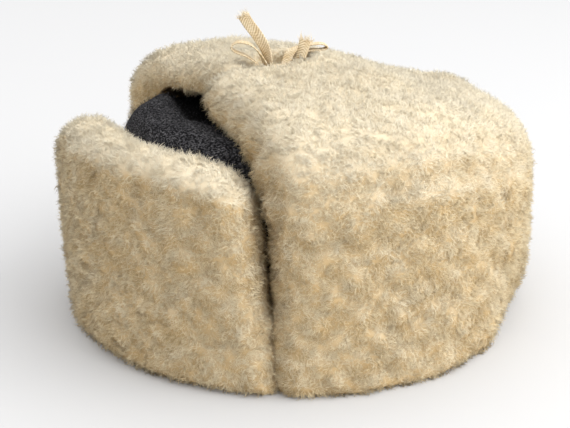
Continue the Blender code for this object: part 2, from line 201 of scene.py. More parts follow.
def noise_at(points, size, seed):
    """Smooth noise from -1 to 1, a value for each point. size is a feature's length, or one for each axis."""
    lattice = np.random.default_rng(seed).uniform(-1, 1, LATTICE_SIZE)
    scaled = points / size
    cell = np.floor(scaled).astype(np.int64)
    share = scaled - cell
    share = share * share * (3 - 2 * share)
    total = np.zeros(len(points))
    for corner in np.ndindex(2, 2, 2):
        at = cell + corner
        x, y, z = (at * np.array(HASH_PRIMES)).T
        index = (x ^ y ^ z) & (LATTICE_SIZE - 1)
        weight = np.prod(np.where(corner, share, 1 - share), axis=1)
        total += lattice[index] * weight
    return total


def unit(vectors):
    return vectors / np.maximum(np.linalg.norm(vectors, axis=1, keepdims=True), 1e-9)


Surface = namedtuple("Surface", "points normals triangles wool")


def mesh_arrays(mesh):
    """(points, normals, triangles) of a mesh as arrays."""
    points = np.empty(len(mesh.vertices) * 3, np.float32)
    mesh.vertices.foreach_get("co", points)
    normals = np.empty(len(mesh.vertices) * 3, np.float32)
    mesh.vertex_normals.foreach_get("vector", normals)
    mesh.calc_loop_triangles()
    triangles = np.empty(len(mesh.loop_triangles) * 3, np.int32)
    mesh.loop_triangles.foreach_get("vertices", triangles)
    return points.reshape(-1, 3).astype(float), normals.reshape(-1, 3).astype(float), triangles.reshape(-1, 3)


def mesh_object(name, points, triangles, material, smooth=True):
    mesh = bpy.data.meshes.new(name)
    mesh.vertices.add(len(points))
    mesh.vertices.foreach_set("co", np.asarray(points, np.float32).ravel())
    mesh.loops.add(triangles.size)
    mesh.loops.foreach_set("vertex_index", np.asarray(triangles, np.int32).ravel())
    mesh.polygons.add(len(triangles))
    mesh.polygons.foreach_set("loop_start", np.arange(len(triangles), dtype=np.int32) * 3)
    mesh.update(calc_edges=True)
    mesh.polygons.foreach_set("use_smooth", np.full(len(triangles), smooth))
    mesh.materials.append(material)
    obj = bpy.data.objects.new(name, mesh)
    bpy.context.scene.collection.objects.link(obj)
    return obj


def set_attribute(obj, name, kind, values):
    made = obj.data.attributes.new(name, kind, "POINT")
    field = "vector" if kind == "FLOAT_VECTOR" else "value"
    made.data.foreach_set(field, np.asarray(values, np.float32).ravel())


def evaluated_copy(node, *modifiers):
    """The mesh of a node after some modifiers, given as (kind, settings)."""
    helper = bpy.data.objects.new("helper", node.data.copy())
    bpy.context.scene.collection.objects.link(helper)
    for kind, settings in modifiers:
        added = helper.modifiers.new(kind, kind)
        for key, value in settings.items():
            setattr(added, key, value)
    mesh = bpy.data.meshes.new_from_object(helper.evaluated_get(bpy.context.evaluated_depsgraph_get()))
    bpy.data.objects.remove(helper)
    return mesh


def mesh_links(mesh):
    """(first, second, count): the ends of each edge, and how many edges meet at each point."""
    edges = np.empty(len(mesh.edges) * 2, np.int32)
    mesh.edges.foreach_get("vertices", edges)
    first, second = edges.reshape(-1, 2).T
    return first, second, np.bincount(edges, minlength=len(mesh.vertices))


def neighbour_mean(values, links):
    """The mean of each point's neighbours, for one value a point."""
    first, second, count = links
    total = np.bincount(first, values[second], len(values)) + np.bincount(second, values[first], len(values))
    return total / count


def relaxed(points, links, rounds):
    """The points after rounds of smoothing that keep the volume: each round shrinks and then swells."""
    for _ in range(rounds):
        for amount in SHRINK_AND_SWELL:
            means = np.stack([neighbour_mean(points[:, axis], links) for axis in range(3)], axis=1)
            points = points + amount * (means - points)
    return points


def normals_of(points, triangles):
    a, b, c = (points[triangles[:, corner]] for corner in range(3))
    faces = np.cross(b - a, c - a)
    normals = np.empty_like(points)
    for axis in range(3):
        shares = (np.bincount(triangles[:, corner], faces[:, axis], len(points)) for corner in range(3))
        normals[:, axis] = sum(shares)
    return unit(normals)


def solid_tree(name):
    points, _, triangles = mesh_arrays(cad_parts[name].data)
    return BVHTree.FromPolygons(points.tolist(), triangles.tolist())


def room_at(points, normals, trees, furthest):
    """How far each point can see along its normal, at the furthest, before one of the solids."""
    room = np.full(len(points), furthest)
    for index in range(len(points)):
        place, outwards = Vector(points[index]), Vector(normals[index])
        for tree in trees:
            distance = tree.ray_cast(place + outwards * RAY_START, outwards, furthest)[3]
            if distance is not None:
                room[index] = min(room[index], distance)
    return room


def wool_share(points, normals, others):
    """1 where the pelt bears full wool, less where another pelt is near, 0 on its skin side by the crown."""
    wool = np.ones(len(points))
    wool[room_at(points, normals, [solid_tree("crown")], SKIN_CLEARANCE) < SKIN_CLEARANCE] = 0.0
    room = room_at(points, normals, others, SLIT_CLEARANCE) / SLIT_CLEARANCE
    return wool * np.maximum(LEAST_SLIT_WOOL + (1 - LEAST_SLIT_WOOL) * room, slit_closing(points))


def smooth_step(share):
    share = np.clip(share, 0, 1)
    return share * share * (3 - 2 * share)


def slit_closing(points):
    """Low down, and behind, wool closes over the slit between two pelts: 1 there, 0 where it is open."""
    wander = SLIT_END_WANDER * noise_at(points, SLIT_END_WANDER_SIZE, 23)
    low = smooth_step((CLOSED_SLIT_HEIGHT + wander - points[:, 2]) / CLOSING_BLEND)
    behind = smooth_step((points[:, 1] - CLOSED_SEAM_START) / CLOSING_BLEND)
    return np.maximum(low, behind)


def slit_fill(points, normals, others, links):
    """How far the wool at a closed slit swells towards the pelt across it, which it meets halfway."""
    room = room_at(points, normals, others, WIDEST_SEAM)
    facing = np.where(room < WIDEST_SEAM, room / 2 + SEAM_OVERLAP, 0.0)
    for _ in range(FILL_ROUNDS):
        facing = neighbour_mean(facing, links)
    nearest = [tree.find_nearest(Vector(place), SLIT_REACH)[3] for place in points for tree in others]
    nearest = np.array([SLIT_REACH if distance is None else distance for distance in nearest])
    beside = 1 - nearest.reshape(len(points), len(others)).min(axis=1) / SLIT_REACH
    return np.maximum(SLIT_FILL * beside, facing) * slit_closing(points)


def ridges(points):
    """The wool lies in wavy rows round the hat and parts between them: 1 on a row, -1 in a parting."""
    warp = noise_at(points, RIDGE_WARP_SIZE, 21) * RIDGE_WARP
    size = np.array([RIDGE_LENGTH, RIDGE_LENGTH, RIDGE_PITCH])
    return noise_at(points + warp[:, None] * np.array([0, 0, RIDGE_PITCH]), size, 22)


def bulge_at(name, points):
    """How far the wool stands out from the solid there. Where two bulges meet, the larger one counts."""
    total = np.zeros(len(points))
    for bulge in BULGES:
        if bulge.node == name:
            away = np.linalg.norm(points - np.array(bulge.place), axis=1) / bulge.reach
            change = bulge.height * smooth_step(BULGE_EDGE - away)
            total = np.where(np.abs(change) > np.abs(total), change, total)
    return total


def pelt(name):
    """The fleece's own surface: the solid's form, smoothed, with lumps, rows and tufts on its wool side."""
    mesh = evaluated_copy(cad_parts[name], ("REMESH", {"mode": "VOXEL", "voxel_size": PELT_VOXEL}))
    points, _, triangles = mesh_arrays(mesh)
    links = mesh_links(mesh)
    bpy.data.meshes.remove(mesh)
    points = relaxed(points, links, PELT_ROUNDS)
    normals = normals_of(points, triangles)
    others = [solid_tree(other) for other in ("peak", "ear_flap_left", "ear_flap_right") if other != name]
    wool = wool_share(points, normals, others)
    height = LUMP_HEIGHT * noise_at(points, LUMP_SIZE, 11) + slit_fill(points, normals, others, links)
    relief = RIDGE_HEIGHT * ridges(points) + TUFT_HEIGHT * noise_at(points, TUFT_SIZE, 12)
    height += relief * (1 - ROOF_CALM * smooth_step(normals[:, 2] * ROOF_BLEND))
    points = points + normals * (wool * (height - PELT_SETBACK) + bulge_at(name, points))[:, None]
    points[:, 2] = np.maximum(points[:, 2], FLOOR_CLEARANCE)
    return Surface(points, unit(normals + normals_of(points, triangles)), triangles, wool)


def scattered(surface, count, rng):
    """(places, normals, wool) of points spread evenly over the wool side of a surface."""
    corners = surface.points[surface.triangles]
    area = np.linalg.norm(np.cross(corners[:, 1] - corners[:, 0], corners[:, 2] - corners[:, 0]), axis=1)
    area *= surface.wool[surface.triangles].min(axis=1) > 0
    chosen = np.searchsorted(np.cumsum(area), rng.random(count) * area.sum())
    chosen = np.minimum(chosen, len(area) - 1)
    one, two = rng.random((2, count))
    over = one + two > 1
    one, two = np.where(over, 1 - one, one), np.where(over, 1 - two, two)
    weights = np.stack([1 - one - two, one, two], axis=1)[:, :, None]
    picked = surface.triangles[chosen]
    wool = (surface.wool[picked] * weights[:, :, 0]).sum(axis=1)
    places = (corners[chosen] * weights).sum(axis=1)
    return places, unit((surface.normals[picked] * weights).sum(axis=1)), wool


def ribbons(paths, width, across):
    """(points, triangles) of ribbons that end in points. paths is (ribbons, steps, 3)."""
    count, steps = paths.shape[:2]
    shares = np.sin(np.pi * np.arange(1, steps - 1) / (steps - 1))
    half = 0.5 * width * shares[None, :, None] * across[:, None, :]
    middle = np.stack([paths[:, 1:-1] + half, paths[:, 1:-1] - half], axis=2).reshape(count, -1, 3)
    points = np.concatenate([paths[:, :1], middle, paths[:, -1:]], axis=1)
    last = 2 * (steps - 2) + 1
    faces = [(0, 1, 2)]
    for step in range(steps - 3):
        low = 1 + 2 * step
        faces += [(low, low + 2, low + 1), (low + 1, low + 2, low + 3)]
    faces.append((last - 2, last, last - 1))
    triangles = np.array(faces)[None] + (np.arange(count) * (last + 1))[:, None, None]
    return points.reshape(-1, 3), triangles.reshape(-1, 3)


def nearest_of(places, count):
    """For each place, the index of the nearest of the first count of them."""
    tree = KDTree(count)
    for index in range(count):
        tree.insert(places[index], index)
    tree.balance()
    return np.array([tree.find(place)[1] for place in places])


def strand_directions(places, normals, rng):
    """Most of the wool lies over, one way and another in patches, and a share of it stands."""
    patches = np.stack([noise_at(places, LEAN_PATCH_SIZE, seed) for seed in (31, 32, 33)], axis=1)
    lean = patches * LEAN_IN_PATCHES
    lean += rng.normal(0, LEAN_SPREAD, places.shape)
    lean[:, 2] = 0.6 * lean[:, 2] - 0.15 * (1 - np.abs(normals[:, 2]))
    lean -= normals * (lean * normals).sum(axis=1)[:, None]
    standing = rng.random(len(places)) < STANDING_SHARE
    amount = np.where(standing, STANDING_LEAN, LYING_LEAN) * rng.uniform(0.6, 1.3, len(places))
    return unit(normals + unit(lean) * amount[:, None]), standing


def paleness_under_painted_shade(wool):
    """How much of its paleness the wool keeps: painted shade makes it brown in the open slits, where it is
    short, and dark on the bare skin.
    """
    return np.clip((wool - PALE_ABOVE) / PALE_BLEND, LEAST_PALENESS, 1.0)


def strands(surface, count, rng):
    """Bent strands of wool that gather in small clumps, with each one's normal, tone and paleness."""
    places, normals, wool = scattered(surface, count, rng)
    directions, standing = strand_directions(places, normals, rng)
    uneven = LENGTH_SPREAD * rng.normal(0, 1, count).clip(-2, 2)
    reach = STRAND_LENGTH * (1 + uneven + LENGTH_IN_PATCHES * noise_at(places, LENGTH_PATCH_SIZE, 41))
    shortest, longest = (limit * STRAND_LENGTH for limit in LENGTH_LIMITS)
    reach = reach.clip(shortest, longest) * wool * np.where(standing, STANDING_EXTRA, 1.0)
    clump = nearest_of(places, count // STRANDS_PER_CLUMP)
    roots = places - normals * STRAND_ROOT_DEPTH
    tips = roots + directions * reach[:, None]
    clump_tips = places[clump] + directions[clump] * (reach[clump] * CLUMP_TIP_SHARE)[:, None]
    pull = rng.uniform(*CLUMP_PULL, count)[:, None]
    tips = tips * (1 - pull) + clump_tips * pull
    sideways = reach * rng.uniform(-SIDE_BEND, SIDE_BEND, count)
    bend = unit(np.cross(tips - roots, normals)) * sideways[:, None]
    lift = normals * (reach * rng.uniform(0.0, UPWARD_BEND, count))[:, None]
    middles = roots * 0.5 + tips * 0.5 + bend + lift
    paths = np.stack([roots, middles, tips], axis=1)
    paths[:, :, 2] = np.maximum(paths[:, :, 2], FLOOR_CLEARANCE)
    across = unit(np.cross(tips - roots, normals + rng.normal(0, TWIST_SPREAD, places.shape)))
    shaded = unit(normals + rng.normal(0, NORMAL_SPREAD, places.shape))
    tone = TONE_MIDDLE + TONE_IN_PATCHES * noise_at(places, TONE_PATCH_SIZE, 42)
    tone = (tone + rng.normal(0, TONE_SPREAD, count)).clip(0, 1)
    return ribbons(paths, STRAND_WIDTH, across) + (shaded, tone, paleness_under_painted_shade(wool))


def fleece(name, title, count, seed, with_pelt, surface, material):
    """One piece of fleece: strands, on their pelt if it is the first piece over it."""
    rng = np.random.default_rng(seed)
    points, triangles, shaded, tone, light = strands(surface, count, rng)
    # along runs towards dark brown where the wool is short: painted shade in the slits.
    along = np.tile(ALONG_STRAND, count) * np.repeat(light, len(ALONG_STRAND))
    shaded, tone = np.repeat(shaded, 4, axis=0), np.repeat(tone, 4)
    if with_pelt:
        triangles = np.concatenate([surface.triangles, triangles + len(surface.points)])
        points = np.concatenate([surface.points, points])
        shaded = np.concatenate([surface.normals, shaded])
        # The pelt goes dark brown in the slits and on its bare skin: painted shade.
        along = np.concatenate([ALONG_STRAND[0] * paleness_under_painted_shade(surface.wool), along])
        tone = np.concatenate([np.full(len(surface.points), 0.5), tone])
    piece = mesh_object(title, points, triangles, material)
    set_attribute(piece, "wool_normal", "FLOAT_VECTOR", shaded)
    set_attribute(piece, "along", "FLOAT", along)
    set_attribute(piece, "tone", "FLOAT", tone)
    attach(piece, "root")
    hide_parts(name)


def new_material(name):
    material = bpy.data.materials.new(name)
    material.use_nodes = True
    nodes = material.node_tree.nodes
    nodes.clear()
    return material, nodes, material.node_tree.links


def add(nodes, kind, **settings):
    node = nodes.new(kind)
    for key, value in settings.items():
        if key in node.inputs:
            node.inputs[key].default_value = value
        else:
            setattr(node, key, value)
    return node


def ramp(nodes, *stops):
    node = nodes.new("ShaderNodeValToRGB")
    elements = node.color_ramp.elements
    while len(elements) < len(stops):
        elements.new(0.5)
    for element, (place, colour) in zip(elements, stops):
        element.position = place
        element.color = (*colour, 1.0)
    return node


def mix_colour(nodes, links, kind, factor, first, second):
    node = nodes.new("ShaderNodeMix")
    node.data_type = "RGBA"
    node.blend_type = kind
    for socket, value in ((node.inputs[0], factor), (node.inputs[6], first), (node.inputs[7], second)):
        if isinstance(value, bpy.types.NodeSocket):
            links.new(value, socket)
        else:
            socket.default_value = value if isinstance(value, float) else (*value, 1.0)
    return node.outputs[2]


def noise_node(nodes, links, scale, detail=3.0, stretch=(1, 1, 1)):
    """Noise over the object's own coordinates, as a value from 0 to 1."""
    place = nodes.new("ShaderNodeTexCoord")
    mapping = add(nodes, "ShaderNodeMapping", Scale=stretch)
    node = add(nodes, "ShaderNodeTexNoise", Scale=scale, Detail=detail, Roughness=0.55)
    links.new(place.outputs["Object"], mapping.inputs["Vector"])
    links.new(mapping.outputs["Vector"], node.inputs["Vector"])
    return node.outputs["Fac"]


def attribute(nodes, name):
    return add(nodes, "ShaderNodeAttribute", attribute_name=name)


def contrast(nodes, links, value, low, high):
    node = add(nodes, "ShaderNodeMapRange")
    node.inputs["From Min"].default_value = low
    node.inputs["From Max"].default_value = high
    links.new(value, node.inputs["Value"])
    return node.outputs["Result"]


def wool_material():
    """Cream wool: ochre near the skin and in patches, paler at the tips, and lit softly from all round.
    Painted shade makes it dark brown in the slits and on the bare skin, and darker and more ochre where it
    faces sideways than on top.
    """
    material, nodes, links = new_material("sheepskin_wool")
    along = attribute(nodes, "along").outputs["Fac"]
    tone = attribute(nodes, "tone").outputs["Fac"]
    strand = ramp(
        nodes,
        # Painted shade: dark brown for the wool in the slits and on the bare skin.
        (0.0, (0.12, 0.08, 0.045)),
        (0.2, (0.79, 0.65, 0.44)),
        (0.5, (0.95, 0.87, 0.69)),
        (1.0, (0.98, 0.94, 0.81)),
    )
    links.new(along, strand.inputs["Fac"])
    normal = attribute(nodes, "wool_normal").outputs["Vector"]
    parts = nodes.new("ShaderNodeSeparateXYZ")
    links.new(normal, parts.inputs[0])
    # Painted shade: wool facing sideways is tinted darker and more ochre than wool facing up, and its patches
    # a little deeper.
    painted_side_shade = contrast(nodes, links, parts.outputs["Z"], 0.85, -0.15)
    colour = mix_colour(nodes, links, "MULTIPLY", painted_side_shade, strand.outputs["Color"], (1.0, 0.915, 0.765))
    patches = contrast(nodes, links, noise_node(nodes, links, 55.0, 4.0, (1, 1, 2.0)), 0.42, 0.64)
    ochre = mix_colour(nodes, links, "MIX", painted_side_shade, (0.98, 0.95, 0.88), (0.965, 0.925, 0.85))
    colour = mix_colour(nodes, links, "MULTIPLY", patches, colour, ochre)
    toned = ramp(
        nodes,
        (0.0, (0.68, 0.60, 0.48)),
        (0.5, (0.95, 0.93, 0.90)),
        (1.0, (1.0, 1.0, 1.0)),
    )
    links.new(tone, toned.inputs["Fac"])
    uneven = contrast(nodes, links, parts.outputs["Z"], 1.5, 0.1)
    colour = mix_colour(nodes, links, "MULTIPLY", uneven, colour, toned.outputs["Color"])
    calm = add(nodes, "ShaderNodeMath", operation="MULTIPLY")
    calm.inputs[1].default_value = 0.6
    links.new(contrast(nodes, links, parts.outputs["Z"], 0.1, 0.8), calm.inputs[0])
    colour = mix_colour(nodes, links, "MIX", calm.outputs[0], colour, (0.855, 0.76, 0.58))
    shader = add(nodes, "ShaderNodeBsdfPrincipled", Roughness=0.9)
    shader.inputs["Specular IOR Level"].default_value = 0.1
    through = add(nodes, "ShaderNodeBsdfTranslucent")
    inwards = add(nodes, "ShaderNodeVectorMath", operation="SCALE")
    inwards.inputs["Scale"].default_value = -1.0
    links.new(normal, inwards.inputs[0])
    links.new(colour, shader.inputs["Base Color"])
    links.new(normal, shader.inputs["Normal"])
    links.new(colour, through.inputs["Color"])
    links.new(inwards.outputs[0], through.inputs["Normal"])
    both = add(nodes, "ShaderNodeMixShader", Fac=0.4)
    output = nodes.new("ShaderNodeOutputMaterial")
    links.new(shader.outputs[0], both.inputs[1])
    links.new(through.outputs[0], both.inputs[2])
    links.new(both.outputs[0], output.inputs["Surface"])
    return material


def felt_material():
    """Charcoal cloth of mixed dark and pale fibres, darkened by painted shade where the fleece hides the sky
    and in the pocket.
    """
    material, nodes, links = new_material("charcoal_felt")
    fibres = contrast(nodes, links, noise_node(nodes, links, 800.0, 2.0, (1, 1, 2.5)), 0.46, 0.64)
    colour = mix_colour(nodes, links, "MIX", fibres, (0.004, 0.004, 0.0045), (0.080, 0.078, 0.082))
    # Painted shade: darker where the fleece hides the sky and in the pocket.
    painted_shade = contrast(nodes, links, attribute(nodes, "open").outputs["Fac"], 0.5, 0.1)
    colour = mix_colour(nodes, links, "MULTIPLY", painted_shade, colour, (0.12, 0.12, 0.12))
    patches = contrast(nodes, links, noise_node(nodes, links, 120.0), 0.35, 0.7)
    colour = mix_colour(nodes, links, "MULTIPLY", patches, colour, (0.62, 0.62, 0.64))
    bump = add(nodes, "ShaderNodeBump", Strength=0.8, Distance=0.0010)
    links.new(noise_node(nodes, links, 700.0, 3.0), bump.inputs["Height"])
    shader = add(nodes, "ShaderNodeBsdfPrincipled", Roughness=0.95)
    shader.inputs["Specular IOR Level"].default_value = 0.05
    links.new(colour, shader.inputs["Base Color"])
    links.new(bump.outputs[0], shader.inputs["Normal"])
    output = nodes.new("ShaderNodeOutputMaterial")
    links.new(shader.outputs[0], output.inputs["Surface"])
    return material


def cotton_material(name, ribbed):
    """Unbleached cotton: cream threads, tan between the ribs as painted shade, and tan in patches. The knot's
    mesh has no ribs.
    """
    material, nodes, links = new_material(name)
    rib = attribute(nodes, "rib").outputs["Fac"] if ribbed else noise_node(nodes, links, 1800.0, 2.0)
    # On the tape the weave's low places take the darker colours, as painted shade between the ribs; on the
    # knot the colours fall at random.
    thread = ramp(
        nodes,
        (0.0, (0.30, 0.22, 0.125)),
        (0.5, (0.56, 0.46, 0.31)),
        (1.0, (0.76, 0.67, 0.49)),
    )
    links.new(rib, thread.inputs["Fac"])
    patches = contrast(nodes, links, noise_node(nodes, links, 260.0), 0.35, 0.7)
    colour = mix_colour(nodes, links, "MULTIPLY", patches, thread.outputs["Color"], (0.82, 0.74, 0.62))
    bump = add(nodes, "ShaderNodeBump", Strength=0.4, Distance=0.0003)
    links.new(noise_node(nodes, links, 2200.0, 2.0), bump.inputs["Height"])
    shader = add(nodes, "ShaderNodeBsdfPrincipled", Roughness=0.85)
    shader.inputs["Specular IOR Level"].default_value = 0.2
    links.new(colour, shader.inputs["Base Color"])
    links.new(bump.outputs[0], shader.inputs["Normal"])
    output = nodes.new("ShaderNodeOutputMaterial")
    links.new(shader.outputs[0], output.inputs["Surface"])
    return material


def openness(points, normals):
    """The share of the directions outwards from each point that no piece of fleece stands in."""
    trees = [solid_tree(name) for name in ("peak", "ear_flap_left", "ear_flap_right")]
    ways = unit(np.random.default_rng(6).normal(0, 1, (OPENNESS_RAYS, 3)))
    shares = []
    for place, normal in zip(points, normals):
        start = Vector(place + normal * OPENNESS_START)
        outward = [Vector(way if way @ normal > 0 else -way) for way in ways]
        blocked = sum(
            any(tree.ray_cast(start, way, OPENNESS_REACH)[0] is not None for tree in trees) for way in outward
        )
        shares.append(1 - blocked / len(ways))
    return np.array(shares)


def pocket_share(points):
    """The crown's top sinks behind a soft ridge under the flaps: 0 in front of it, 1 well behind it. The felt
    there is also darkened as painted shade.
    """
    x, y, z = points.T * 1000
    ridge = np.maximum(*(line.y + line.slope * (x - line.x) for line in POCKET_RIDGES_MM))
    ridge = np.minimum(ridge, POCKET_RIDGE_LIMIT_MM)
    behind = smooth_step((y - ridge) / POCKET_BLEND_MM)
    return behind * smooth_step((z - POCKET_LOWEST_MM) / POCKET_RISE_MM)


def build_crown(material):
    """The felt crown, smooth between its facets, softly dented, with short fuzz on its outside, and painted
    shade where the fleece hides it and in its pocket.
    """
    mesh = evaluated_copy(
        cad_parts["crown"],
        ("WELD", {"merge_threshold": 0.0001}),
        ("SUBSURF", {"levels": 2, "render_levels": 2}),
    )
    points, normals, triangles = mesh_arrays(mesh)
    bpy.data.meshes.remove(mesh)
    shade = pocket_share(points)
    points[:, 2] -= POCKET_DEPTH * shade
    folds = 1 - np.abs(noise_at(points, FELT_FOLD_SIZE, 52)) * 2
    dents = np.maximum(noise_at(points, FELT_DENT_SIZE, 51) - 0.5 * folds, -0.3)
    points[:, 2] -= FELT_DENT_DEPTH * dents * (points[:, 2] > DENTS_ABOVE)
    normals = normals_of(points, triangles)
    outside = (normals[:, 2] > 0.1) & (points[:, 2] > FUZZ_ABOVE)
    surface = Surface(points, normals, triangles, outside.astype(float))
    rng = np.random.default_rng(5)
    places, upright, _ = scattered(surface, FUZZ_STRANDS, rng)
    directions = unit(upright + rng.normal(0, FUZZ_SPREAD, places.shape))
    tips = places + (directions + upright * FUZZ_LIFT) * FUZZ_LENGTH
    paths = np.stack([places, places + directions * FUZZ_LENGTH / 2, tips], axis=1)
    across = unit(np.cross(directions, rng.normal(0, 1, places.shape)))
    fuzz, fuzz_faces = ribbons(paths, FUZZ_WIDTH, across)
    piece = mesh_object(
        "crown_felt",
        np.concatenate([points, fuzz]),
        np.concatenate([triangles, fuzz_faces + len(points)]),
        material,
    )
    # Painted shade: the felt's colour darkens with how little sky it sees and in the pocket; the fuzz keeps
    # its colour.
    openness_for_painted_shade = openness(points, normals) * (1 - shade)
    set_attribute(piece, "open", "FLOAT", np.concatenate([openness_for_painted_shade, np.full(len(fuzz), FUZZ_OPENNESS)]))
    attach(piece, "root")
    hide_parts("crown")


TapePoint = namedtuple("TapePoint", "x y z turn")
KNOT = Vector((0.0, -0.013965, 0.1390))
LEVEL = [(TAPE_THICKNESS + TAPE_CLEARANCE) * (step - 1.5) for step in range(4)]
LEFT_TAPE_ROUTE = (
    TapePoint(0.0010, 0.0085, LEVEL[0] - 0.0012, 0),
    TapePoint(0.0004, 0.0055, LEVEL[0] - 0.0003, 0),
    TapePoint(0.0, 0.0025, LEVEL[0], 0),
    TapePoint(0.0, -0.0040, LEVEL[0], 0),
    TapePoint(-0.0004, -0.0080, LEVEL[0] + 0.0016, -8),
    TapePoint(-0.0024, -0.0120, 0.0062, -20),
    TapePoint(-0.0062, -0.0170, 0.0110, -30),
    TapePoint(-0.0100, -0.0222, 0.0136, -33),
    TapePoint(-0.0112, -0.0240, 0.0164, -33),
    TapePoint(-0.0090, -0.0205, 0.0190, -33),
    TapePoint(-0.0048, -0.0145, 0.0172, -28),
    TapePoint(-0.0018, -0.0098, 0.0106, -14),
    TapePoint(-0.0003, -0.0062, LEVEL[2] + 0.0020, -3),
    TapePoint(0.0, -0.0032, LEVEL[2], 0),
    TapePoint(0.0, 0.0035, LEVEL[2], 0),
    TapePoint(0.0018, 0.0064, LEVEL[2] + 0.0009, -24),
    TapePoint(0.0048, 0.0092, 0.0046, -16),
    TapePoint(0.0066, 0.0112, 0.0094, 22),
    TapePoint(0.0072, 0.0126, 0.0142, 46),
    TapePoint(0.0074, 0.0138, 0.0190, 57),
)
RIGHT_TAPE_ROUTE = (
    TapePoint(0.0, -0.0036, LEVEL[1], 0),
    TapePoint(0.0, 0.0, LEVEL[1], 0),
    TapePoint(0.0, 0.0036, LEVEL[1], 0),
    TapePoint(-0.0012, 0.0070, LEVEL[1] - 0.0001, 14),
    TapePoint(-0.0036, 0.0115, 0.0028, 18),
    TapePoint(-0.0044, 0.0170, 0.0082, 2),
    TapePoint(-0.0022, 0.0235, 0.0106, -20),
    TapePoint(0.0012, 0.0296, 0.0108, -28),
    TapePoint(0.0026, 0.0324, 0.0124, -28),
    TapePoint(0.0010, 0.0296, 0.0142, -28),
    TapePoint(-0.0026, 0.0235, 0.0138, -22),
    TapePoint(-0.0048, 0.0170, 0.0122, 0),
    TapePoint(-0.0046, 0.0115, 0.0100, 18),
    TapePoint(-0.0020, 0.0068, LEVEL[3] + 0.0028, 18),
    TapePoint(0.0, 0.0036, LEVEL[3], 0),
    TapePoint(0.0, -0.0036, LEVEL[3], 0),
    TapePoint(-0.0003, -0.0054, LEVEL[3] + 0.0030, 4),
    TapePoint(-0.0008, -0.0064, 0.0105, 16),
    TapePoint(-0.0018, -0.0080, 0.0162, 36),
    TapePoint(-0.0038, -0.0114, 0.0228, 54),
    TapePoint(-0.0060, -0.0154, 0.0290, 57),
    TapePoint(-0.0074, -0.0180, 0.0338, 57),
)


def smooth_row(rows, place):
    """The row at a place along a table, on a Catmull-Rom curve."""
    start = min(int(place), len(rows) - 2)
    share = place - start
    picked = [rows[max(0, min(len(rows) - 1, start + step))] for step in (-1, 0, 1, 2)]
    before, first, second, after = (Vector(row) for row in picked)
    return 0.5 * (
        2 * first
        + (second - before) * share
        + (2 * before - 5 * first + 4 * second - after) * share**2
        + (3 * first - before - 3 * second + after) * share**3
    )


def tape_frames(route):
    """(place, across, up, distance) along a tape."""
    rows = [smooth_row(route, step / TAPE_STEPS) for step in range((len(route) - 1) * TAPE_STEPS + 1)]
    places = [KNOT + row.xyz for row in rows]
    frames, distance = [], 0.0
    for index, row in enumerate(rows):
        ahead = (places[min(index + 1, len(rows) - 1)] - places[max(index - 1, 0)]).normalized()
        turn = math.radians(row.w)
        across = Vector((math.cos(turn), math.sin(turn), 0.0))
        across = (across - ahead * across.dot(ahead)).normalized()
        if index:
            distance += (places[index] - places[index - 1]).length
        frames.append((places[index], across, ahead.cross(across), distance))
    return frames


def herringbone(distance, across):
    """How high the weave stands, from 0 to 1, at a distance along the tape and a share across it."""
    band = abs((across * 2) % 2 - 1)
    wave = math.sin(2 * math.pi * (distance + band * RIB_PITCH * RIB_SLANT) / RIB_PITCH)
    return 0.5 + 0.5 * wave


def frays(place, ahead, across, rng):
    """Loose threads at a cut end, spread across the tape."""
    shares = rng.uniform(-FRAY_HALF_SPAN, FRAY_HALF_SPAN, FRAY_THREADS)
    starts = np.array(place) + np.outer(shares, across) * TAPE_WIDTH
    starts += rng.normal(0, FRAY_ROOT_SPREAD, starts.shape) - np.array(ahead) * FRAY_ROOT_DEPTH
    ways = unit(np.array(ahead) + rng.normal(0, FRAY_SPREAD, starts.shape))
    curl = rng.normal(0, FRAY_CURL_SPREAD, starts.shape)
    reach = FRAY_LENGTH * rng.uniform(FRAY_SHORTEST, 1.0, FRAY_THREADS)[:, None]
    steps = np.linspace(0, 1, FRAY_STEPS)
    bent = [starts + (ways * step + curl * step * step * FRAY_CURL) * reach for step in steps]
    paths = np.stack(bent, axis=1)
    away = paths - np.array(place)
    distance = np.linalg.norm(away, axis=2, keepdims=True)
    paths = np.array(place) + away * np.minimum(1, FRAY_FURTHEST / np.maximum(distance, 1e-9))
    return ribbons(paths, FRAY_WIDTH, unit(np.cross(ways, rng.normal(0, 1, starts.shape))))


